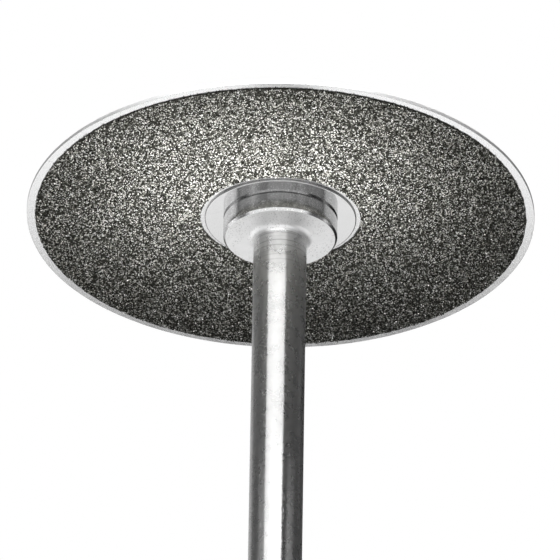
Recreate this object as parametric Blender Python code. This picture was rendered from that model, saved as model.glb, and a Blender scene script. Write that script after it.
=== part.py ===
# Diamond grinding disc clamped on a screw mandrel.
# Metres, +Z up, origin at the centre of the shank's tail face, every piece turned about Z.
# The thread is right-handed: turning the clamp screw by a positive angle about +Z raises it.
from math import cos, floor, pi, radians, sin, tan

import bmesh
import bpy

# Mandrel: a straight handpiece shank with a collar, turned from one bar.
OVERALL_LENGTH = 0.0445
SHANK_DIAMETER = 0.00235
TAIL_CHAMFER = 0.0002
COLLAR_DIAMETER = 0.00505
COLLAR_HEIGHT = 0.00095
COLLAR_TOP_CHAMFER = 0.00009
COLLAR_LOWER_BEVEL = 0.0001
COLLAR_FILLET = 0.0003

# Grinding disc: a thin steel blank, with a nickel bond and diamond grit on both faces.
DISC_DIAMETER = 0.0225
CORE_THICKNESS = 0.00017
CORE_EDGE_BEVEL = 0.00003
BORE_DIAMETER = 0.0017
COAT_INNER_DIAMETER = 0.0071
COAT_OUTER_DIAMETER = 0.02172
BOND_THICKNESS = 0.00004
GRIT_HEIGHT = 0.00006

# The two washers that the disc is clamped between.
WASHER_DIAMETER = 0.0067
WASHER_THICKNESS = 0.0001
WASHER_EDGE_BEVEL = 0.00002

# Clamp screw: slotted, with a coarse metric thread of 1.6 mm.
HEAD_DIAMETER = 0.0048
HEAD_HEIGHT = 0.0009
HEAD_CROWN = 0.00025
HEAD_EDGE_BEVEL = 0.00008
SLOT_WIDTH = 0.0005
SLOT_DEPTH = 0.00045
SCREW_LENGTH = 0.0036
SCREW_TIP_RADIUS = 0.00045
SCREW_ROOT_IN_HEAD = 0.0003
THREAD_DIAMETER = 0.0016
THREAD_PITCH = 0.00035
SLOT_CUTTER_LENGTH = HEAD_DIAMETER * 1.2

# Metric thread form: five eighths of a sharp 60 degree V, and places in it as shares of the pitch.
THREAD_DEPTH = 0.625 * THREAD_PITCH * cos(radians(30))
ROOT_END = 1 / 4
CREST_START = 9 / 16
CREST_END = 11 / 16

# Tapped hole in the mandrel.
THREAD_CLEARANCE = 0.00003
TAPPED_DEPTH = 0.0035
DRILL_POINT_ANGLE = radians(31)
MOUTH_RADIUS = 0.0009
CUTTER_OVERSHOOT = 0.0001

# Gap kept between two pieces that rest on each other.
SEAT_GAP = 0.000005

SHANK_SEGMENTS = 64
DISC_SEGMENTS = 128
COAT_SEGMENTS = 64
WASHER_SEGMENTS = 64
THREAD_SEGMENTS = 24
ARC_STEPS = 5
SMOOTH_ANGLE = radians(35)
MERGE_DISTANCE = 0.0000001

# Heights of the stack, from the tail face upwards.
CLAMPED_STACK = 2 * WASHER_THICKNESS + CORE_THICKNESS + 4 * SEAT_GAP
COLLAR_TOP = OVERALL_LENGTH - HEAD_HEIGHT - CLAMPED_STACK
COLLAR_UNDERSIDE = COLLAR_TOP - COLLAR_HEIGHT
BACKING_WASHER_SEAT = COLLAR_TOP + SEAT_GAP
DISC_SEAT = BACKING_WASHER_SEAT + WASHER_THICKNESS + SEAT_GAP
CLAMP_WASHER_SEAT = DISC_SEAT + CORE_THICKNESS + SEAT_GAP
SCREW_SEAT = CLAMP_WASHER_SEAT + WASHER_THICKNESS + SEAT_GAP


def clear_scene():
    for piece in list(bpy.data.objects):
        bpy.data.objects.remove(piece, do_unlink=True)


def metal(name, colour, roughness, metallic=1.0):
    material = bpy.data.materials.new(name)
    material.use_nodes = True
    shader = material.node_tree.nodes["Principled BSDF"]
    shader.inputs["Base Color"].default_value = (*colour, 1.0)
    shader.inputs["Roughness"].default_value = roughness
    shader.inputs["Metallic"].default_value = metallic
    return material


def add_piece(name, bm, material=None, height=0.0, parent=None):
    """Turn a bmesh into an object whose origin is on the Z axis, `height` above its parent's."""
    bmesh.ops.remove_doubles(bm, verts=bm.verts, dist=MERGE_DISTANCE)
    bmesh.ops.dissolve_degenerate(bm, edges=bm.edges, dist=MERGE_DISTANCE)
    bmesh.ops.recalc_face_normals(bm, faces=bm.faces)
    mesh = bpy.data.meshes.new(name)
    bm.to_mesh(mesh)
    bm.free()
    mesh.shade_smooth()
    mesh.set_sharp_from_angle(angle=SMOOTH_ANGLE)
    piece = bpy.data.objects.new(name, mesh)
    piece.location.z = height
    piece.parent = parent
    if material:
        mesh.materials.append(material)
    bpy.context.scene.collection.objects.link(piece)
    return piece


def arc(centre_radius, centre_height, radius, start, end, steps=ARC_STEPS):
    """Profile points on an arc, in a plane through the Z axis."""
    angles = [start + (end - start) * step / steps for step in range(steps + 1)]
    return [(centre_radius + radius * cos(a), centre_height + radius * sin(a)) for a in angles]


def turned(profile, segments, closed):
    """Spin a profile of (radius, height) points once round the Z axis."""
    bm = bmesh.new()
    points = [bm.verts.new((radius, 0.0, height)) for radius, height in profile]
    edges = [bm.edges.new(pair) for pair in zip(points, points[1:])]
    if closed:
        edges.append(bm.edges.new((points[-1], points[0])))
    bmesh.ops.spin(bm, geom=points + edges, cent=(0, 0, 0), axis=(0, 0, 1), dvec=(0, 0, 0),
                   angle=2 * pi, steps=segments, use_merge=True, use_duplicate=False)
    return bm


def ring_profile(inner, outer, low, high, inner_bevel, outer_bevel):
    """Section of a flat ring, with its four edges bevelled."""
    return [(inner + inner_bevel, low), (outer - outer_bevel, low),
            (outer, low + outer_bevel), (outer, high - outer_bevel),
            (outer - outer_bevel, high), (inner + inner_bevel, high),
            (inner, high - inner_bevel), (inner, low + inner_bevel)]


def helical_rod(crest, low, high, phase, low_radius, high_radius, point):
    """A threaded rod from `low` to `high`, drawn in to `low_radius` and out to `high_radius`.

    Each turn has four edges: the crest is an eighth of the pitch wide and the root a quarter.
    A root starts where the height from `phase` is a whole number of pitches. The low end
    closes on a cone `point` high.
    """
    root = crest - THREAD_DEPTH
    corners = ((0.0, root), (ROOT_END, root), (CREST_START, crest), (CREST_END, crest))
    first_turn = floor((low - phase) / THREAD_PITCH) - 2
    last_turn = floor((high - phase) / THREAD_PITCH) + 1
    edges = [(turn + part, radius) for turn in range(first_turn, last_turn) for part, radius in corners]

    def section_point(part, radius, column):
        height = phase + THREAD_PITCH * (part + column / THREAD_SEGMENTS)
        if height <= low:
            return low_radius, low
        if height >= high:
            return high_radius, high
        radius = min(radius, max(low_radius, low_radius + height - low))
        return max(radius, high_radius - (high - height)), height

    bm = bmesh.new()
    columns = []
    for column in range(THREAD_SEGMENTS + 1):
        angle = 2 * pi * column / THREAD_SEGMENTS
        section = [section_point(part, radius, column) for part, radius in edges]
        section = [(0.0, low - point)] + section + [(0.0, high)]
        columns.append([bm.verts.new((r * cos(angle), r * sin(angle), z)) for r, z in section])
    for left, right in zip(columns, columns[1:]):
        for row in range(len(left) - 1):
            bm.faces.new((left[row], right[row], right[row + 1], left[row + 1]))
    return bm


def boolean(piece, operation, tool):
    """Join or cut `piece` with `tool`, which stays hidden in the scene as a guide."""
    tool.hide_render = True
    tool.display_type = "WIRE"
    modifier = piece.modifiers.new(tool.name, "BOOLEAN")
    modifier.operation = operation
    modifier.solver = "EXACT"
    modifier.object = tool


def make_mandrel(material):
    shank = SHANK_DIAMETER / 2
    collar = COLLAR_DIAMETER / 2
    fillet = arc(shank + COLLAR_FILLET, COLLAR_UNDERSIDE - COLLAR_FILLET, COLLAR_FILLET, pi, pi / 2)
    profile = [(0.0, 0.0), (shank - TAIL_CHAMFER, 0.0), (shank, TAIL_CHAMFER), *fillet,
               (collar - COLLAR_LOWER_BEVEL, COLLAR_UNDERSIDE),
               (collar, COLLAR_UNDERSIDE + COLLAR_LOWER_BEVEL),
               (collar, COLLAR_TOP - COLLAR_TOP_CHAMFER),
               (collar - COLLAR_TOP_CHAMFER, COLLAR_TOP), (0.0, COLLAR_TOP)]
    mandrel = add_piece("mandrel", turned(profile, SHANK_SEGMENTS, closed=False), material)
    tap_crest = THREAD_DIAMETER / 2 + THREAD_CLEARANCE
    tap_root = tap_crest - THREAD_DEPTH
    tap = helical_rod(tap_crest, COLLAR_TOP - TAPPED_DEPTH, COLLAR_TOP + CUTTER_OVERSHOOT, SCREW_SEAT,
                      tap_root, MOUTH_RADIUS + CUTTER_OVERSHOOT, tap_root * tan(DRILL_POINT_ANGLE))
    boolean(mandrel, "DIFFERENCE", add_piece("tapped_hole_cutter", tap))
    return mandrel


def make_washer(name, material, height, parent):
    profile = ring_profile(BORE_DIAMETER / 2, WASHER_DIAMETER / 2, 0.0, WASHER_THICKNESS,
                           WASHER_EDGE_BEVEL, WASHER_EDGE_BEVEL)
    return add_piece(name, turned(profile, WASHER_SEGMENTS, closed=True), material, height, parent)


def make_core(material, parent):
    profile = ring_profile(BORE_DIAMETER / 2, DISC_DIAMETER / 2, 0.0, CORE_THICKNESS,
                           CORE_EDGE_BEVEL, CORE_EDGE_BEVEL)
    disc = turned(profile, DISC_SEGMENTS, closed=True)
    return add_piece("disc_core", disc, material, DISC_SEAT, parent)


def make_coat(side, face, direction, bond_material, grit_material, core):
    """The bond and the grit on one face of the core; `direction` is +1 upwards, -1 downwards."""
    inner = COAT_INNER_DIAMETER / 2
    outer = COAT_OUTER_DIAMETER / 2
    start = face
    for kind, thickness, material in (("nickel_bond", BOND_THICKNESS, bond_material),
                                      ("diamond_grit", GRIT_HEIGHT, grit_material)):
        start += direction * SEAT_GAP
        end = start + direction * thickness
        low, high = sorted((start, end))
        profile = [(inner, low), (outer, low), (outer, high), (inner, high)]
        add_piece(f"{kind}_{side}", turned(profile, COAT_SEGMENTS, closed=True), material, parent=core)
        start = end


def make_screw(material, parent):
    """Crowned head with a screwdriver slot; the origin is at the head's underside."""
    head = HEAD_DIAMETER / 2
    shoulder = HEAD_HEIGHT - HEAD_CROWN
    sphere = (head ** 2 + HEAD_CROWN ** 2) / (2 * HEAD_CROWN)
    rim = pi / 2 - head / sphere
    crown = arc(0.0, HEAD_HEIGHT - sphere, sphere, rim, pi / 2)[1:-1]
    profile = [(0.0, 0.0), (head - HEAD_EDGE_BEVEL, 0.0), (head, HEAD_EDGE_BEVEL), (head, shoulder),
               *crown, (0.0, HEAD_HEIGHT)]
    screw = add_piece("clamp_screw", turned(profile, WASHER_SEGMENTS, closed=False), material,
                      SCREW_SEAT - CLAMP_WASHER_SEAT, parent)
    crest = THREAD_DIAMETER / 2
    root = crest - THREAD_DEPTH
    rod = helical_rod(crest, -SCREW_LENGTH, SCREW_ROOT_IN_HEAD, 0.0, SCREW_TIP_RADIUS, root, 0.0)
    boolean(screw, "UNION", add_piece("screw_thread_guide", rod, height=SCREW_SEAT))
    slot = bmesh.new()
    bmesh.ops.create_cube(slot, size=1.0)
    bmesh.ops.scale(slot, vec=(SLOT_CUTTER_LENGTH, SLOT_WIDTH, 2 * SLOT_DEPTH), verts=slot.verts)
    boolean(screw, "DIFFERENCE", add_piece("slot_cutter", slot, height=SCREW_SEAT + HEAD_HEIGHT))
    return screw


def main():
    clear_scene()
    mandrel_steel = metal("turned_steel", (0.62, 0.62, 0.63), 0.30)
    washer_steel = metal("polished_steel", (0.85, 0.85, 0.86), 0.08)
    core_steel = metal("blank_steel", (0.72, 0.73, 0.73), 0.28)
    nickel = metal("nickel_bond", (0.20, 0.20, 0.18), 0.45)
    diamond = metal("diamond_grit", (0.42, 0.42, 0.38), 0.30, metallic=0.2)
    screw_steel = metal("screw_steel", (0.60, 0.60, 0.61), 0.25)

    axis = bpy.data.objects.new("wheel_axis", None)
    bpy.context.scene.collection.objects.link(axis)
    make_mandrel(mandrel_steel).parent = axis
    make_washer("backing_washer", washer_steel, BACKING_WASHER_SEAT, axis)
    core = make_core(core_steel, axis)
    make_coat("under", 0.0, -1, nickel, diamond, core)
    make_coat("top", CORE_THICKNESS, 1, nickel, diamond, core)
    clamp_washer = make_washer("clamp_washer", washer_steel, CLAMP_WASHER_SEAT, axis)
    make_screw(screw_steel, clamp_washer)
    bpy.context.view_layer.update()


main()
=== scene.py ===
import math

import bmesh
import bpy
from mathutils import Matrix, Vector, noise


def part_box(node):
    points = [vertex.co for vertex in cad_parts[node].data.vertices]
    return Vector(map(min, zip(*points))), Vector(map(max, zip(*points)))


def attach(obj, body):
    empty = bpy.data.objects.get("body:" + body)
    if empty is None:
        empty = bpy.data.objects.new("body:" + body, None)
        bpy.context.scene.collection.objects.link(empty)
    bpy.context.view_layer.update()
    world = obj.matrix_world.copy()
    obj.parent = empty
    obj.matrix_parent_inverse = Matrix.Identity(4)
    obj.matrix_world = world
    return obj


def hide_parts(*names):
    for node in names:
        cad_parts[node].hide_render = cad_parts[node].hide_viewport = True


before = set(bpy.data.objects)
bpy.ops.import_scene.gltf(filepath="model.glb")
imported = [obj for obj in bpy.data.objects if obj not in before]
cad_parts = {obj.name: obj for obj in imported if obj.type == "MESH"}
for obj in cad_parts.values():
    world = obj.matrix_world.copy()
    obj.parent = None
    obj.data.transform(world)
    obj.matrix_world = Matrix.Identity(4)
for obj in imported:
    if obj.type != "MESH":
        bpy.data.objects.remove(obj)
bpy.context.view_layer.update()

mm = 0.001  # lengths are in metres, written as so many mm
fullTurn = 2 * math.pi
smoothAngle = 32  # degrees; flatter edges than this are shaded smooth

# places that the frame gives
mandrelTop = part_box("mandrel")[1]
coreLow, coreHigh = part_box("disc_core")
screwLow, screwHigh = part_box("clamp_screw")
discHeight = coreLow.z
print("frame loaded: the disc sits", round(discHeight / mm, 2), "mm above the tail")


# a node's output that can be used in a sum
class Wire:
    def __init__(self, bench, socket):
        self.bench = bench
        self.socket = socket

    def maths(self, operation, first, second):
        return self.bench.node("ShaderNodeMath", {"operation": operation}, {0: first, 1: second})

    def __add__(self, other):
        return self.maths("ADD", self, other)

    def __radd__(self, other):
        return self.maths("ADD", other, self)

    def __sub__(self, other):
        return self.maths("SUBTRACT", self, other)

    def __rsub__(self, other):
        return self.maths("SUBTRACT", other, self)

    def __mul__(self, other):
        return self.maths("MULTIPLY", self, other)

    def __truediv__(self, other):
        return self.maths("DIVIDE", self, other)

    def __rtruediv__(self, other):
        return self.maths("DIVIDE", other, self)

    def __mod__(self, other):
        return self.maths("MODULO", self, other)

    def above(self, level):
        return self.maths("GREATER_THAN", self, level)

    def below(self, level):
        return self.maths("LESS_THAN", self, level)

    def either(self, other):
        return self.maths("MAXIMUM", self, other)

    def between(self, low, high):
        return self.bench.node("ShaderNodeMapRange", {"clamp": True},
                               {"Value": self, "From Min": low, "From Max": high})


# a node tree and the one method that adds nodes to it
class Bench:
    def __init__(self, tree):
        self.tree = tree

    def node(self, kind, settings=None, values=None, output=0):
        made = self.tree.nodes.new(kind)
        for key, value in (settings or {}).items():
            if key == "stops":
                self.setStops(made.color_ramp.elements, value)
            else:
                setattr(made, key, value)
        for key, value in (values or {}).items():
            self.fill(made.inputs[key], value)
        return Wire(self, made.outputs[output])

    def setStops(self, elements, stops):
        while len(elements) < len(stops):
            elements.new(1.0)
        for element, (position, colour) in zip(elements, stops):
            element.position = position
            element.color = colour

    def fill(self, socket, value):
        if isinstance(value, Wire):
            self.tree.links.new(value.socket, socket)
        else:
            socket.default_value = value


class Recipe(Bench):
    def __init__(self, name):
        self.material = bpy.data.materials.new(name)
        self.material.use_nodes = True
        super().__init__(self.material.node_tree)
        self.shader = self.tree.nodes["Principled BSDF"]

    def finish(self, **sockets):
        for key, value in sockets.items():
            self.fill(self.shader.inputs[key.replace("_", " ")], value)
        return self.material

    def place(self):
        return self.node("ShaderNodeTexCoord", output="Object")

    def stretched(self, scale):
        return self.node("ShaderNodeVectorMath", {"operation": "MULTIPLY"}, {0: self.place(), 1: scale})

    def radius(self):
        return self.node("ShaderNodeVectorMath", {"operation": "LENGTH"},
                         {0: self.stretched((1.0, 1.0, 0.0))}, "Value")

    def height(self):
        return self.node("ShaderNodeSeparateXYZ", {}, {0: self.place()}, "Z")

    def speckle(self, size, detail, stretch=(1.0, 1.0, 1.0)):
        scale = tuple(axis / size for axis in stretch)
        return self.node("ShaderNodeTexNoise", {},
                         {"Vector": self.stretched(scale), "Scale": 1.0, "Detail": detail})

    def rings(self, along, width, detail=3.0):
        return self.node("ShaderNodeTexNoise", {"noise_dimensions": "1D"},
                         {"W": along / width, "Scale": 1.0, "Detail": detail})

    def pores(self, size, low, high):  # 1 in the middle of a pore and 0 outside it
        scale = (1 / size,) * 3
        reach = self.node("ShaderNodeTexVoronoi", {}, {"Vector": self.stretched(scale), "Scale": 1.0},
                          "Distance")
        return 1 - reach.between(low, high)

    def blotches(self, size, tones, detail=3.0):  # a noise and the greys that it blends
        amount = self.speckle(size, detail)
        return amount, self.blend(amount, grey(tones[0]), grey(tones[1]))

    def blend(self, amount, first, second):
        return self.node("ShaderNodeMix", {"data_type": "RGBA"}, {0: amount, 6: first, 7: second}, 2)

    def bump(self, height, depth, normal=None):
        values = {"Height": height, "Distance": depth}
        if normal:
            values["Normal"] = normal
        return self.node("ShaderNodeBump", {}, values)


def grey(level, warmth=0.0):
    return (level * (1 + warmth), level, level * (1 - warmth), 1.0)


def olive(level, blue):
    return (level, level * 0.995, level * blue, 1.0)


# a "range" is where a pattern fades in, "shade" is how strongly it colours the steel
shankFinish = {
    "tones": (0.55, 0.62), "warmth": 0.004, "toneRange": (0.35, 0.7), "rough": 0.26, "patchRough": 0.03,
    "stainRough": 0.05, "grooveWidth": 0.03 * mm, "grooveShare": 0.1, "grooveDepth": 0.004 * mm,
    "scoreWidth": 0.09 * mm, "scoreRange": (0.56, 0.66), "scoreShade": 0.45, "scoreTone": 0.16,
    "marksFade": 3.3 * mm, "marksFull": 2.3 * mm, "patchSize": 0.5 * mm, "patchDepth": 0.0005 * mm,
    "stainSize": 0.09 * mm, "stainRange": (0.60, 0.72), "stainPatches": (0.50, 0.58), "stainShade": 0.15,
    "stainTone": 0.9, "grainSize": 0.07 * mm, "grainDepth": 0.0008 * mm, "scratchWidth": 0.03 * mm,
    "scratchStretch": 0.05, "scratchRange": (0.70, 0.76), "scratchDepth": 0.0015 * mm, "anisotropy": 1.0,
    "brushTurn": 0.25,
}


def turnedShankSteel():
    look = shankFinish
    recipe = Recipe("turnedShankSteel")
    height = recipe.height()
    grooves = recipe.rings(height, look["grooveWidth"], 4.0)
    # the tool marks are coarser near the collar
    toolMarks = height.between(discHeight - look["marksFade"], discHeight - look["marksFull"])
    patches = recipe.speckle(look["patchSize"], 4.0)
    stains = recipe.speckle(look["stainSize"], 3.0).between(*look["stainRange"])
    stains = stains * patches.between(*look["stainPatches"])
    scores = recipe.rings(height, look["scoreWidth"], 2.0).between(*look["scoreRange"]) * toolMarks
    scratches = recipe.speckle(look["scratchWidth"], 1.0, (1.0, 1.0, look["scratchStretch"]))
    scratches = scratches.between(*look["scratchRange"])
    dark, light = look["tones"]
    colour = recipe.blend(patches.between(*look["toneRange"]), grey(dark), grey(light, look["warmth"]))
    colour = recipe.blend(stains * look["stainShade"], colour, grey(look["stainTone"]))
    colour = recipe.blend(scores * look["scoreShade"], colour, grey(look["scoreTone"]))
    rough = look["rough"] + patches * look["patchRough"] + stains * look["stainRough"]
    grain = recipe.speckle(look["grainSize"], 3.0)
    relief = recipe.bump(grooves * (look["grooveShare"] + toolMarks), look["grooveDepth"])
    relief = recipe.bump(patches, look["patchDepth"], relief)
    relief = recipe.bump(grain, look["grainDepth"], relief)
    relief = recipe.bump(scratches, look["scratchDepth"], relief)
    return recipe.finish(Base_Color=colour, Metallic=1.0, Roughness=rough, Normal=relief,
                         Anisotropic=look["anisotropy"], Anisotropic_Rotation=look["brushTurn"])


collarFinish = {"tones": (0.40, 0.56), "rough": 0.14, "roughSpread": 0.10, "grooveWidth": 0.05 * mm,
                "grooveDepth": 0.001 * mm, "patchSize": 0.3 * mm, "glintDustSize": 0.04 * mm,
                "glintDustRange": (0.64, 0.70), "glintDustTone": 0.95}


def turnedCollarSteel():
    look = collarFinish
    recipe = Recipe("turnedCollarSteel")
    grooves = recipe.rings(recipe.height(), look["grooveWidth"])
    patches, colour = recipe.blotches(look["patchSize"], look["tones"])
    # light specks on the turned side: dust, and painted glints that stand in for reflections of the bright
    # grit
    dustAndGlints = recipe.speckle(look["glintDustSize"], 1.0).between(*look["glintDustRange"])
    colour = recipe.blend(dustAndGlints, colour, grey(look["glintDustTone"]))
    rough = look["rough"] + patches * look["roughSpread"]
    relief = recipe.bump(grooves, look["grooveDepth"])
    return recipe.finish(Base_Color=colour, Metallic=1.0, Roughness=rough, Normal=relief)


blastedFinish = {"tones": (0.78, 0.92), "rough": 0.42, "roughSpread": 0.12, "cloudSize": 0.5 * mm,
                 "pitSpacing": 0.09 * mm, "pitEdge": (0.16, 0.34), "pitShade": 0.55, "pitShadowTone": 0.22,
                 "pitPatches": 0.7 * mm, "pitPatchRange": (0.38, 0.54), "grainSize": 0.03 * mm,
                 "grainShare": 0.6, "depth": 0.006 * mm}


def blastedSteel():
    look = blastedFinish
    recipe = Recipe("blastedSteel")
    clouds, colour = recipe.blotches(look["cloudSize"], look["tones"])
    pitted = recipe.speckle(look["pitPatches"], 3.0).between(*look["pitPatchRange"])
    shadedPits = recipe.pores(look["pitSpacing"], *look["pitEdge"]) * pitted
    grain = recipe.speckle(look["grainSize"], 3.0)
    # the pits are coloured dark as well as sunk: painted shade in the hollows
    colour = recipe.blend(shadedPits * look["pitShade"], colour, grey(look["pitShadowTone"]))
    rough = look["rough"] + clouds * look["roughSpread"]
    relief = recipe.bump(grain * look["grainShare"] - shadedPits, look["depth"])
    return recipe.finish(Base_Color=colour, Metallic=1.0, Roughness=rough, Normal=relief)


# steels with grooves round the axis; smears are the size of the softer blotches
latheFinishes = {
    "polishedSteel": {"tones": (0.58, 0.66), "rough": 0.05, "roughSpread": 0.08, "smears": 0.8 * mm,
                      "grooveWidth": 0.02 * mm, "grooveDepth": 0.00008 * mm},
    "brushedSteel": {"tones": (0.62, 0.74), "rough": 0.36, "roughSpread": 0.12, "smears": 0.7 * mm,
                     "grooveWidth": 0.03 * mm, "grooveDepth": 0.0012 * mm},
    "screwSteel": {"tones": (0.46, 0.62), "rough": 0.36, "roughSpread": 0.14, "smears": 0.5 * mm,
                   "grooveWidth": 0.04 * mm, "grooveDepth": 0.0025 * mm},
}


def latheSteel(name):
    look = latheFinishes[name]
    recipe = Recipe(name)
    grooves = recipe.rings(recipe.radius(), look["grooveWidth"])
    smears, colour = recipe.blotches(look["smears"], look["tones"])
    rough = look["rough"] + smears * look["roughSpread"]
    relief = recipe.bump(grooves, look["grooveDepth"])
    return recipe.finish(Base_Color=colour, Metallic=1.0, Roughness=rough, Normal=relief)


punchedFinish = {"tones": (0.26, 0.50), "rough": 0.34, "roughSpread": 0.2, "tearSize": 0.03 * mm,
                 "tearStretch": 0.2, "tearDepth": 0.004 * mm}


def punchedEdgeSteel():
    look = punchedFinish
    recipe = Recipe("punchedEdgeSteel")
    tears = recipe.speckle(look["tearSize"], 2.0, (1.0, 1.0, look["tearStretch"]))
    dark, light = look["tones"]
    colour = recipe.blend(tears, grey(dark), grey(light))
    rough = look["rough"] + tears * look["roughSpread"]
    relief = recipe.bump(tears, look["tearDepth"])
    return recipe.finish(Base_Color=colour, Metallic=1.0, Roughness=rough, Normal=relief)


blankFinish = {"tones": (0.80, 0.92), "rough": 0.20, "roughSpread": 0.12, "grooveWidth": 0.02 * mm,
               "grooveDepth": 0.0012 * mm, "patchSize": 0.6 * mm, "spotSize": 0.06 * mm,
               "spotRange": (0.62, 0.72), "spotShade": 0.5, "spotTone": 0.36}


def groundBlankSteel():
    look = blankFinish
    recipe = Recipe("groundBlankSteel")
    grooves = recipe.rings(recipe.radius(), look["grooveWidth"])
    patches, colour = recipe.blotches(look["patchSize"], look["tones"], 4.0)
    spots = recipe.speckle(look["spotSize"], 2.0).between(*look["spotRange"])
    colour = recipe.blend(spots * look["spotShade"], colour, grey(look["spotTone"]))
    rough = look["rough"] + patches * look["roughSpread"]
    relief = recipe.bump(grooves, look["grooveDepth"])
    return recipe.finish(Base_Color=colour, Metallic=1.0, Roughness=rough, Normal=relief)


lappedFinish = {"tones": (0.78, 0.92), "metal": 0.75, "rough": 0.46, "roughSpread": 0.12,
                "patchSize": 0.4 * mm, "lineWidth": 0.01 * mm, "lineDepth": 0.0006 * mm}


def lappedEdgeSteel():
    look = lappedFinish
    recipe = Recipe("lappedEdgeSteel")
    lines = recipe.rings(recipe.height(), look["lineWidth"])
    patches, colour = recipe.blotches(look["patchSize"], look["tones"])
    rough = look["rough"] + patches * look["roughSpread"]
    relief = recipe.bump(lines, look["lineDepth"])
    return recipe.finish(Base_Color=colour, Metallic=look["metal"], Roughness=rough, Normal=relief)


nickelLook = {"tones": (olive(0.02, 0.82), olive(0.06, 0.85)), "metal": 0.4, "rough": 0.42,
              "roughSpread": 0.2, "gloss": 0.1, "cloudSize": 0.4 * mm, "knobSpacing": 0.07 * mm,
              "knobEdge": (0.0, 0.6), "knobDepth": 0.02 * mm}


def platedNickel():
    look = nickelLook
    recipe = Recipe("platedNickel")
    knobs = recipe.pores(look["knobSpacing"], *look["knobEdge"])
    clouds = recipe.speckle(look["cloudSize"], 3.0)
    colour = recipe.blend(clouds, *look["tones"])
    rough = look["rough"] + clouds * look["roughSpread"]
    relief = recipe.bump(knobs, look["knobDepth"])
    return recipe.finish(Base_Color=colour, Metallic=look["metal"], Roughness=rough,
                         Specular_IOR_Level=look["gloss"], Normal=relief)


# each crystal has its own tone at random, and the light end of the ramp, up to near white, is painted
# sparkle; the lightest few also glint like metal
crystalLook = {"stops": ((0.0, olive(0.004, 0.80)), (0.36, olive(0.035, 0.80)), (0.68, olive(0.46, 0.90)),
                         (1.0, olive(0.96, 0.98))),
               "glintFrom": 0.94, "glint": 0.8, "rough": 0.25, "gloss": 0.05}


def diamondCrystal():
    look = crystalLook
    recipe = Recipe("diamondCrystal")
    tone = recipe.node("ShaderNodeAttribute", {"attribute_name": "crystalTone"}, output="Fac")
    colour = recipe.node("ShaderNodeValToRGB", {"stops": look["stops"]}, {"Fac": tone}, "Color")
    metal = tone.above(look["glintFrom"]) * look["glint"]
    return recipe.finish(Base_Color=colour, Metallic=metal, Roughness=look["rough"],
                         Specular_IOR_Level=look["gloss"])


cornerSteps = 4


def arcPoints(radius, height, bend, start, end, steps):
    angles = [math.radians(start + (end - start) * step / steps) for step in range(steps + 1)]
    return [(radius + bend * math.cos(a), height + bend * math.sin(a)) for a in angles]


def roundedCorner(corner, bend, start, end):  # the angles say which way the corner faces
    radius, height = corner
    middle = math.radians((start + end) / 2)
    reach = bend * math.sqrt(2)
    return arcPoints(radius - reach * math.cos(middle), height - reach * math.sin(middle),
                     bend, start, end, cornerSteps)


braceReach = 0.008 * mm
bracedLength = 6 * braceReach


# points close to both ends of each long run, which keep flat faces flat beside a bend
def braced(profile, closed):
    ends = profile + profile[:1] if closed else profile
    points = [ends[0]]
    for (r0, z0), (r1, z1) in zip(ends, ends[1:]):
        length = math.hypot(r1 - r0, z1 - z0)
        if length > bracedLength:
            for share in (braceReach / length, 1 - braceReach / length):
                points.append((r0 + (r1 - r0) * share, z0 + (z1 - z0) * share))
        points.append((r1, z1))
    return points[:-1] if closed else points


def spin(bm, profile, segments, closed=False):
    points = [bm.verts.new((radius, 0.0, height)) for radius, height in braced(profile, closed)]
    edges = [bm.edges.new(pair) for pair in zip(points, points[1:])]
    if closed:
        edges.append(bm.edges.new((points[-1], points[0])))
    bmesh.ops.spin(bm, geom=points + edges, cent=(0, 0, 0), axis=(0, 0, 1), dvec=(0, 0, 0),
                   angle=fullTurn, steps=segments, use_merge=True, use_duplicate=False)


mergeReach = 0.00005 * mm
sliverReach = 0.00002 * mm


def finishMesh(name, bm, materials, sharpAngle=smoothAngle):
    bmesh.ops.remove_doubles(bm, verts=bm.verts, dist=mergeReach)
    bmesh.ops.dissolve_degenerate(bm, edges=bm.edges, dist=sliverReach)
    bmesh.ops.recalc_face_normals(bm, faces=bm.faces)
    mesh = bpy.data.meshes.new(name)
    bm.to_mesh(mesh)
    bm.free()
    for material in materials:
        mesh.materials.append(material)
    mesh.shade_smooth()
    mesh.set_sharp_from_angle(angle=math.radians(sharpAngle))
    piece = bpy.data.objects.new(name, mesh)
    bpy.context.scene.collection.objects.link(piece)
    return piece


def freeze(piece):  # turns the modifiers of a piece into plain mesh
    bpy.context.view_layer.update()
    shaped = piece.evaluated_get(bpy.context.evaluated_depsgraph_get())
    mesh = bpy.data.meshes.new_from_object(shaped)
    piece.modifiers.clear()
    piece.data = mesh
    return piece


def handOver(piece, body, node):
    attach(piece, body)
    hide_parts(node)


thread = {"diameter": 1.6 * mm, "pitch": 0.35 * mm, "depth": 0.1894 * mm, "clearance": 0.03 * mm}
threadCorners = ((0.0, 0), (0.25, 0), (0.5625, 1), (0.6875, 1))  # share of the pitch, 0 root or 1 crest


# a right-handed thread between two rings; a root starts wherever (height - phase) / pitch is whole
def addThread(bm, crest, low, high, phase, lowRadius, highRadius, segments):
    pitch = thread["pitch"]
    radii = (crest - thread["depth"], crest)
    first = math.floor((low - phase) / pitch) - 2
    last = math.floor((high - phase) / pitch) + 1
    columns = []
    for column in range(segments + 1):
        angle = fullTurn * column / segments
        points = [(lowRadius, low)]
        for turn in range(first, last):
            for part, place in threadCorners:
                height = phase + pitch * (turn + part + column / segments)
                if height <= low:
                    points.append((lowRadius, low))
                elif height >= high:
                    points.append((highRadius, high))
                else:
                    drawnIn = max(lowRadius, lowRadius + height - low)
                    flared = highRadius - (high - height)
                    points.append((max(min(radii[place], drawnIn), flared), height))
        points.append((highRadius, high))
        columns.append([bm.verts.new((r * math.cos(angle), r * math.sin(angle), z)) for r, z in points])
    for left, right in zip(columns, columns[1:]):
        for row in range(len(left) - 1):
            bm.faces.new((left[row], right[row], right[row + 1], left[row + 1]))


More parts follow.
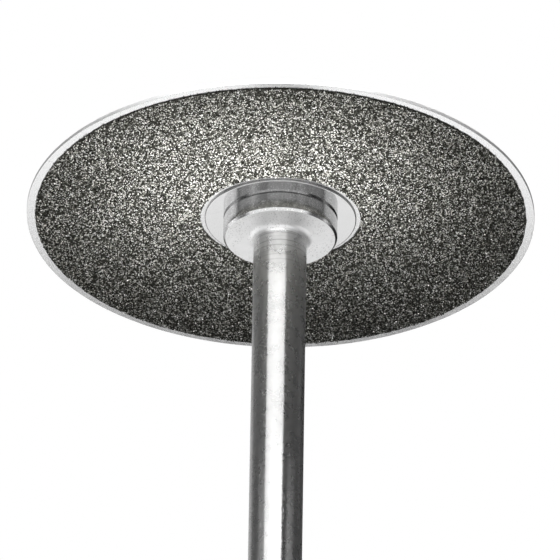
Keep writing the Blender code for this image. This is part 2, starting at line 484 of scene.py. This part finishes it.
mandrel = {"shankDiameter": 2.35 * mm, "tailChamfer": 0.2 * mm, "collarHeight": 0.95 * mm,
           "topChamfer": 0.09 * mm, "lowerBevel": 0.10 * mm, "fillet": 0.3 * mm, "filletSteps": 14,
           "holeDepth": 3.5 * mm, "drillAngle": 31, "mouthRadius": 0.9 * mm, "segments": 192,
           "sharpAngle": 20, "slack": 0.01 * mm}


def buildMandrel():
    shank = mandrel["shankDiameter"] / 2
    collar = mandrelTop.x
    top = mandrelTop.z
    under = top - mandrel["collarHeight"]
    bevel = mandrel["lowerBevel"]
    chamfer = mandrel["topChamfer"]
    fillet = mandrel["fillet"]
    tail = mandrel["tailChamfer"]
    profile = [(0.0, 0.0), (shank - tail, 0.0), (shank, tail)]
    profile += arcPoints(shank + fillet, under - fillet, fillet, 180, 90, mandrel["filletSteps"])
    profile += [(collar - bevel, under), (collar, under + bevel), (collar, top - chamfer),
                (collar - chamfer, top), (mandrel["mouthRadius"], top)]
    bm = bmesh.new()
    spin(bm, profile, mandrel["segments"])
    crest = thread["diameter"] / 2 + thread["clearance"]
    root = crest - thread["depth"]
    low = top - mandrel["holeDepth"]
    addThread(bm, crest, low, top, screwSeat, root, mandrel["mouthRadius"], mandrel["segments"])
    drillTip = low - root * math.tan(math.radians(mandrel["drillAngle"]))
    spin(bm, [(root, low), (0.0, drillTip)], mandrel["segments"])
    piece = finishMesh("turned_mandrel", bm, [turnedShankSteel(), turnedCollarSteel(), blastedSteel()],
                       mandrel["sharpAngle"])
    slack = mandrel["slack"]
    for face in piece.data.polygons:
        reach = math.hypot(face.center.x, face.center.y)
        if reach > collar - chamfer - slack and face.center.z > under + slack:
            face.material_index = 1
        elif reach > shank + slack:
            face.material_index = 2
    handOver(piece, "mandrel", "mandrel")


washer = {"edgeBend": 0.045 * mm, "segments": 256, "wallSlope": 0.3}  # a wall's normal is flatter


def buildWasher(name, node, finish, edgeFinish):
    low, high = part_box(node)
    bore = disc["bore"]
    bend = washer["edgeBend"]
    profile = (roundedCorner((high.x, low.z), bend, -90, 0) + roundedCorner((high.x, high.z), bend, 0, 90)
               + [(bore + bend, high.z), (bore, high.z - bend), (bore, low.z + bend), (bore + bend, low.z)])
    bm = bmesh.new()
    spin(bm, profile, washer["segments"], closed=True)
    piece = finishMesh(name, bm, [finish, edgeFinish])
    for face in piece.data.polygons:
        if abs(face.normal.z) < washer["wallSlope"]:
            face.material_index = 1
    handOver(piece, node, node)


disc = {"bore": 0.85 * mm, "edgeBend": 0.02 * mm, "segments": 720, "wallSlope": 0.8,
        "wobble": 0.03 * mm, "wobbleWidth": 0.5 * mm, "slowWaves": 1.7, "slowShare": 0.5, "slowSeed": 3.1,
        "quickWaves": 9.0, "quickShare": 0.2, "quickSeed": 8.4, "nickAngle": 4.6, "nickWidth": 0.5,
        "nickDepth": 0.05 * mm}  # the nick's angle and width are in degrees


def ripple(angle, waves, seed):
    return noise.noise(Vector((math.cos(angle) * waves, math.sin(angle) * waves, seed)))


def rimShift(angle):  # how far the disc's edge strays inwards at an angle
    slow = ripple(angle, disc["slowWaves"], disc["slowSeed"])
    quick = ripple(angle, disc["quickWaves"], disc["quickSeed"])
    off = (math.degrees(angle) - disc["nickAngle"] + 180) % 360 - 180
    nick = disc["nickDepth"] * math.exp(-(off / disc["nickWidth"]) ** 2)
    return disc["wobble"] * (0.5 - disc["slowShare"] * slow - disc["quickShare"] * quick) + nick


def buildCore():
    low, high = coreLow.z, coreHigh.z
    rim = coreHigh.x
    bend = disc["edgeBend"]
    bore = disc["bore"]
    width = disc["wobbleWidth"]
    profile = (roundedCorner((rim, low), bend, -90, 0) + roundedCorner((rim, high), bend, 0, 90)
               + [(rim - width, high), (bore, high), (bore, low), (rim - width, low)])
    bm = bmesh.new()
    spin(bm, profile, disc["segments"], closed=True)
    for vert in bm.verts:
        reach = math.hypot(vert.co.x, vert.co.y)
        share = max(0.0, 1 - (rim - reach) / width)
        scale = 1 - rimShift(math.atan2(vert.co.y, vert.co.x)) * share / reach
        vert.co.x *= scale
        vert.co.y *= scale
    piece = finishMesh("steel_blank", bm, [groundBlankSteel(), lappedEdgeSteel()])
    for face in piece.data.polygons:
        outside = math.hypot(face.center.x, face.center.y) > rim - bend
        if outside and abs(face.normal.z) < disc["wallSlope"]:
            face.material_index = 1
    handOver(piece, "disc", "disc_core")


bond = {"segments": 720, "ragged": 0.03 * mm, "raggedSize": 0.25 * mm}


def coatInner():
    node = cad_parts["nickel_bond_under"]
    return min(math.hypot(vert.co.x, vert.co.y) for vert in node.data.vertices)


def buildBond(side, finish):  # its rims wander a little, as plating does at a mask's edge
    node = "nickel_bond_" + side
    low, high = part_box(node)
    inner = coatInner()
    bm = bmesh.new()
    spin(bm, [(high.x, low.z), (high.x, high.z), (inner, high.z), (inner, low.z)], bond["segments"],
         closed=True)
    for vert in bm.verts:
        reach = math.hypot(vert.co.x, vert.co.y)
        spot = Vector((vert.co.x, vert.co.y, high.z)) / bond["raggedSize"]
        scale = 1 + noise.noise(spot) * bond["ragged"] / reach
        vert.co.x *= scale
        vert.co.y *= scale
    handOver(finishMesh("nickel_plating_" + side, bm, [finish]), "disc", node)


grit = {"spacing": 0.048 * mm, "density": 460.0 / mm ** 2, "size": 0.030 * mm, "sizeSpread": 0.35,
        "squash": (0.75, 1.2), "ragged": 0.16 * mm, "raggedSize": 0.12 * mm, "innerRagged": 0.4,
        "shares": 4, "segments": 256}
gritDraws = {"turn": 11, "size": 23, "squash": 37, "habit": 41, "tone": 53}  # added to the seed
crystalHabits = (("GeometryNodeMeshUVSphere", {"Segments": 5, "Rings": 2, "Radius": 1.05}),
                 ("GeometryNodeMeshCube", {"Size": (1.5, 1.5, 1.5)}),
                 ("GeometryNodeMeshUVSphere", {"Segments": 4, "Rings": 2, "Radius": 1.15}))


def gritTree():
    tree = bpy.data.node_groups.new("scatterCrystals", "GeometryNodeTree")
    tree.is_modifier = True
    sockets = (("Geometry", "OUTPUT", "NodeSocketGeometry"), ("Geometry", "INPUT", "NodeSocketGeometry"),
               ("Spacing", "INPUT", "NodeSocketFloat"), ("Density", "INPUT", "NodeSocketFloat"),
               ("Crystal Size", "INPUT", "NodeSocketFloat"), ("Size Spread", "INPUT", "NodeSocketFloat"),
               ("Inner Radius", "INPUT", "NodeSocketFloat"), ("Outer Radius", "INPUT", "NodeSocketFloat"),
               ("Ragged", "INPUT", "NodeSocketFloat"), ("Ragged Size", "INPUT", "NodeSocketFloat"),
               ("Shares", "INPUT", "NodeSocketInt"), ("Share", "INPUT", "NodeSocketInt"),
               ("Seed", "INPUT", "NodeSocketInt"), ("Material", "INPUT", "NodeSocketMaterial"))
    for name, way, kind in sockets:
        tree.interface.new_socket(name=name, in_out=way, socket_type=kind)
    bench = Bench(tree)
    entry = tree.nodes.new("NodeGroupInput")
    given = {socket.name: Wire(bench, socket) for socket in entry.outputs if socket.name}
    seed = given["Seed"]

    def draw(name, kind, least, most):
        lowInput, highInput, output = {"FLOAT_VECTOR": (0, 1, 0), "FLOAT": (2, 3, 1), "INT": (4, 5, 2)}[kind]
        return bench.node("FunctionNodeRandomValue", {"data_type": kind},
                          {lowInput: least, highInput: most, "Seed": seed + gritDraws[name]}, output)

    points = bench.node("GeometryNodeDistributePointsOnFaces", {"distribute_method": "POISSON"},
                        {"Mesh": given["Geometry"], "Distance Min": given["Spacing"],
                         "Density Max": given["Density"], "Seed": seed}, "Points")

    # ragged rims, and only this piece's share of the crystals
    position = bench.node("GeometryNodeInputPosition")
    flat = bench.node("ShaderNodeVectorMath", {"operation": "MULTIPLY"}, {0: position, 1: (1.0, 1.0, 0.0)})
    reach = bench.node("ShaderNodeVectorMath", {"operation": "LENGTH"}, {0: flat}, "Value")
    wander = bench.node("ShaderNodeTexNoise", {}, {"Vector": position, "Scale": 1 / given["Ragged Size"],
                                                   "Detail": 3.0})
    stray = (wander - 0.5) * given["Ragged"]
    outside = (reach + stray).above(given["Outer Radius"])
    inside = (reach + stray * grit["innerRagged"]).below(given["Inner Radius"])  # a neater rim
    index = bench.node("GeometryNodeInputIndex")
    elsewhere = 1 - bench.node("ShaderNodeMath", {"operation": "COMPARE"},
                               {0: index % given["Shares"], 1: given["Share"], 2: 0.1})
    kept = bench.node("GeometryNodeDeleteGeometry", {"domain": "POINT"},
                      {"Geometry": points, "Selection": outside.either(inside).either(elsewhere)})

    # three crystal habits: blocky, cube and octahedron
    habits = tree.nodes.new("GeometryNodeGeometryToInstance")
    for kind, sizes in crystalHabits:
        shape = bench.node(kind, {}, sizes)
        tree.links.new(shape.socket, habits.inputs[0])
    middle, spread = given["Crystal Size"], given["Size Spread"]
    flattest, tallest = grit["squash"]
    size = draw("size", "FLOAT", middle * (1 - spread), middle * (1 + spread))
    squash = draw("squash", "FLOAT_VECTOR", (flattest,) * 3, (tallest,) * 3)
    scale = bench.node("ShaderNodeVectorMath", {"operation": "SCALE"}, {0: squash, "Scale": size})
    turn = draw("turn", "FLOAT_VECTOR", (0.0, 0.0, 0.0), (fullTurn,) * 3)
    habit = draw("habit", "INT", 0, len(crystalHabits) - 1)
    placed = bench.node("GeometryNodeInstanceOnPoints", {},
                        {"Points": kept, "Instance": Wire(bench, habits.outputs[0]), "Pick Instance": True,
                         "Instance Index": habit, "Rotation": turn, "Scale": scale})
    toned = bench.node("GeometryNodeStoreNamedAttribute", {"data_type": "FLOAT", "domain": "INSTANCE"},
                       {"Geometry": placed, "Name": "crystalTone", "Value": draw("tone", "FLOAT", 0.0, 1.0)})
    real = bench.node("GeometryNodeRealizeInstances", {}, {"Geometry": toned})
    dressed = bench.node("GeometryNodeSetMaterial", {}, {"Geometry": real, "Material": given["Material"]})
    tree.links.new(dressed.socket, tree.nodes.new("NodeGroupOutput").inputs[0])
    return tree


def setInputs(modifier, values):  # a modifier's inputs go by their sockets' identifiers
    for item in modifier.node_group.interface.items_tree:
        if item.item_type == "SOCKET" and item.in_out == "INPUT" and item.name in values:
            modifier[item.identifier] = values[item.name]


def buildGrit(side, tree, finish, seed):  # shares keep each piece's mesh small
    node = "diamond_grit_" + side
    low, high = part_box(node)
    ground = high.z if side == "under" else low.z
    inner, outer = coatInner(), high.x
    spare = grit["ragged"] / 2
    for share in range(grit["shares"]):
        bm = bmesh.new()
        spin(bm, [(inner - spare, ground), (outer + spare, ground)], grit["segments"])
        piece = finishMesh(f"diamond_crystals_{side}_{share + 1}", bm, [])
        modifier = piece.modifiers.new("scatter", "NODES")
        modifier.node_group = tree
        setInputs(modifier, {"Spacing": grit["spacing"], "Density": grit["density"],
                             "Crystal Size": grit["size"], "Size Spread": grit["sizeSpread"],
                             "Inner Radius": inner, "Outer Radius": outer, "Ragged": grit["ragged"],
                             "Ragged Size": grit["raggedSize"], "Shares": grit["shares"],
                             "Share": share, "Seed": seed, "Material": finish})
        freeze(piece)
        piece.data.shade_flat()
        handOver(piece, "disc", node)
        triangles = sum(len(face.vertices) - 2 for face in piece.data.polygons)
        print(f"{piece.name}: {triangles} triangles")


screw = {"crown": 0.25 * mm, "crownSteps": 12, "edgeBend": 0.08 * mm, "headHeight": 0.9 * mm,
         "slotWidth": 0.5 * mm, "slotDepth": 0.45 * mm, "slotReach": 2.4, "tipRadius": 0.45 * mm,
         "segments": 128}
screwSeat = screwHigh.z - screw["headHeight"]


def buildScrew():
    head = screwHigh.x
    top = screwHigh.z
    crest = thread["diameter"] / 2
    root = crest - thread["depth"]
    crown = screw["crown"]
    ball = (head ** 2 + crown ** 2) / (2 * crown)
    rim = math.degrees(math.acos(head / ball))
    dome = arcPoints(0.0, top - ball, ball, rim, 90, screw["crownSteps"])[1:-1] + [(0.0, top)]
    profile = [(root, screwSeat), (head - screw["edgeBend"], screwSeat)]
    profile += roundedCorner((head, screwSeat), screw["edgeBend"], -90, 0)[1:]
    profile += [(head, top - crown)] + dome
    bm = bmesh.new()
    spin(bm, profile, screw["segments"])
    addThread(bm, crest, screwLow.z, screwSeat, screwSeat, screw["tipRadius"], root, screw["segments"])
    spin(bm, [(screw["tipRadius"], screwLow.z), (0.0, screwLow.z)], screw["segments"])
    piece = finishMesh("slotted_screw", bm, [latheSteel("screwSteel")])
    cutter = bmesh.new()
    bmesh.ops.create_cube(cutter, size=1.0)
    slotSize = (head * screw["slotReach"], screw["slotWidth"], 2 * screw["slotDepth"])
    bmesh.ops.scale(cutter, vec=slotSize, verts=cutter.verts)
    bmesh.ops.translate(cutter, vec=(0, 0, top), verts=cutter.verts)
    slotTool = finishMesh("slot_tool", cutter, [])
    cut = piece.modifiers.new("slot", "BOOLEAN")
    cut.operation = "DIFFERENCE"
    cut.solver = "EXACT"
    cut.object = slotTool
    freeze(piece)
    bpy.data.objects.remove(slotTool)
    piece.data.set_sharp_from_angle(angle=math.radians(smoothAngle))
    handOver(piece, "clamp_screw", "clamp_screw")


studio = {"floorHeight": -0.26, "floorRadius": 1.358, "floorSides": 96, "floorTone": 0.86,
          "floorGlow": 0.7, "domeRadius": 1.4, "domeFineness": 4, "surroundings": 0.02}


def hideFromRays(thing, *ways):
    for way in ways:
        setattr(thing, "visible_" + way, False)


def buildStage():
    bm = bmesh.new()
    bmesh.ops.create_icosphere(bm, subdivisions=studio["domeFineness"], radius=studio["domeRadius"])
    white = Recipe("domeWhite").finish(Base_Color=grey(0.0), Roughness=1.0, Specular_IOR_Level=0.0,
                                       Emission_Color=grey(1.0), Emission_Strength=1.0)
    dome = finishMesh("studio_dome", bm, [white])
    hideFromRays(dome, "diffuse", "glossy", "transmission", "shadow")
    bm = bmesh.new()
    bmesh.ops.create_circle(bm, cap_ends=True, segments=studio["floorSides"], radius=studio["floorRadius"])
    bmesh.ops.translate(bm, vec=(0, 0, studio["floorHeight"]), verts=bm.verts)
    paper = Recipe("floorPaper").finish(Base_Color=grey(studio["floorTone"]), Roughness=0.9,
                                        Emission_Color=grey(1.0), Emission_Strength=studio["floorGlow"])
    floor = finishMesh("studio_floor", bm, [paper])
    hideFromRays(floor, "diffuse", "glossy", "transmission", "shadow")
    world = bpy.data.worlds.new("studioWorld")
    world.use_nodes = True
    backdrop = world.node_tree.nodes["Background"]
    backdrop.inputs["Color"].default_value = grey(1.0)
    backdrop.inputs["Strength"].default_value = studio["surroundings"]
    bpy.context.scene.world = world


# a place at that azimuth and elevation from the disc; azimuth 0 is the camera's side
def around(azimuth, elevation, distance):
    a, e = math.radians(azimuth), math.radians(elevation)
    way = Vector((math.sin(a) * math.cos(e), -math.cos(a) * math.cos(e), math.sin(e)))
    return Vector((0, 0, discHeight)) + distance * way


# place and target are measured from the disc's centre, in mm; glow is the light's own brightness
lamps = {
    "hubRing": {"place": (-1, -5, -5.8), "target": (-1, -5, 0), "size": (12, 12), "shape": "DISK",
                "glow": 7.7, "unseenBy": ("glossy",)},
    "underCard": {"place": (-10, 22.5, -22), "target": (-10, 22.5, 0), "size": (100, 36),
                  "shape": "RECTANGLE", "glow": 1.16, "unseenBy": ("diffuse",)},
    "lowCard": {"place": (-5, -33, -62), "target": (0, 0, 0), "size": (130, 44), "shape": "RECTANGLE",
                "glow": 1.6, "unseenBy": ("diffuse",)},
    "frontCard": {"place": (0, -171, -84), "target": (0, 0, 0), "size": (170, 110), "shape": "RECTANGLE",
                  "glow": 0.7, "unseenBy": ("diffuse",)},
    "frontCardLeft": {"place": (-150, -82, -104), "target": (0, 0, 0), "size": (196, 56),
                      "shape": "RECTANGLE", "glow": 0.5, "unseenBy": ("diffuse",)},
    "frontCardRight": {"place": (150, -82, -104), "target": (0, 0, 0), "size": (196, 56),
                       "shape": "RECTANGLE", "glow": 0.4, "unseenBy": ("diffuse",)},
    "keySoftbox": {"place": (-30, -154, 20), "target": (0, 0, -8), "size": (220, 78), "shape": "RECTANGLE",
                   "glow": 4.8, "unseenBy": ("diffuse",)},
    "leftCard": {"place": (-100, -9, -15), "target": (0, 0, -15), "size": (150, 190), "shape": "RECTANGLE",
                 "glow": 0.13, "unseenBy": ("diffuse",)},
    "rightCard": {"place": (98, -17, -15), "target": (0, 0, -15), "size": (130, 190), "shape": "RECTANGLE",
                  "glow": 0.08, "unseenBy": ("diffuse",)},
    "leftSoftbox": {"place": (-130, -20, 250), "target": (0, 0, 0), "size": (140, 140),
                    "shape": "RECTANGLE", "glow": 3.5, "unseenBy": ("diffuse",)},
    "rightSoftbox": {"place": (130, -20, 250), "target": (0, 0, 0), "size": (140, 140),
                     "shape": "RECTANGLE", "glow": 3.5, "unseenBy": ("diffuse",)},
    "backCard": {"place": (-70, 185, 20), "target": (0, 0, 0), "size": (240, 236), "shape": "RECTANGLE",
                 "glow": 0.42, "unseenBy": ("diffuse",)},
    "backLowCard": {"place": (-150, 130, -60), "target": (0, 0, -20), "size": (150, 200),
                    "shape": "RECTANGLE", "glow": 0.42, "unseenBy": ("diffuse",)},
    "topSoftbox": {"place": (0, -120, 260), "target": (0, 0, 0), "size": (180, 180), "shape": "RECTANGLE",
                   "glow": 11.0, "unseenBy": ()},
}


def buildLamps():
    for name, lamp in lamps.items():
        data = bpy.data.lights.new(name, "AREA")
        data.shape = lamp["shape"]
        data.size, data.size_y = (side * mm for side in lamp["size"])
        area = data.size * data.size_y * (math.pi / 4 if lamp["shape"] == "DISK" else 1.0)
        data.energy = lamp["glow"] * math.pi * area
        place, target = Vector(lamp["place"]), Vector(lamp["target"])
        body = bpy.data.objects.new(name, data)
        body.location = Vector((0, 0, discHeight)) + place * mm
        body.rotation_euler = (target - place).to_track_quat("-Z", "Y").to_euler()
        hideFromRays(body, "camera", *lamp["unseenBy"])
        bpy.context.scene.collection.objects.link(body)


camera = {"distance": 0.45, "elevation": -31.27, "roll": 0.93, "aimBelow": 3.18 * mm, "aimRight": 0.02 * mm,
          "lens": 653.7, "sensor": 36.0, "nearest": 0.01, "farthest": 10.0}


def buildCamera():
    data = bpy.data.cameras.new("studioCamera")
    data.lens = camera["lens"]
    data.sensor_width = camera["sensor"]
    data.clip_start = camera["nearest"]
    data.clip_end = camera["farthest"]
    body = bpy.data.objects.new("studioCamera", data)
    body.location = around(0, camera["elevation"], camera["distance"])
    aim = Vector((camera["aimRight"], 0, discHeight - camera["aimBelow"]))
    turn = (aim - body.location).to_track_quat("-Z", "Y").to_matrix().to_4x4()
    roll = Matrix.Rotation(math.radians(camera["roll"]), 4, "Z")
    body.rotation_euler = (turn @ roll).to_euler()
    bpy.context.scene.collection.objects.link(body)
    bpy.context.scene.camera = body


buildCamera()
buildStage()
buildLamps()
print("studio ready")

punchedSteel = punchedEdgeSteel()
nickelFinish = platedNickel()
buildMandrel()
buildWasher("backing_disc_washer", "backing_washer", latheSteel("polishedSteel"), punchedSteel)
buildWasher("clamp_disc_washer", "clamp_washer", latheSteel("brushedSteel"), punchedSteel)
buildCore()
buildBond("under", nickelFinish)
buildBond("top", nickelFinish)
buildScrew()
print("turned pieces ready")

crystalFinish = diamondCrystal()
scatter = gritTree()
buildGrit("under", scatter, crystalFinish, 5)
buildGrit("top", scatter, crystalFinish, 9)
print("grit ready")

bpy.context.scene.view_settings.view_transform = "Standard"
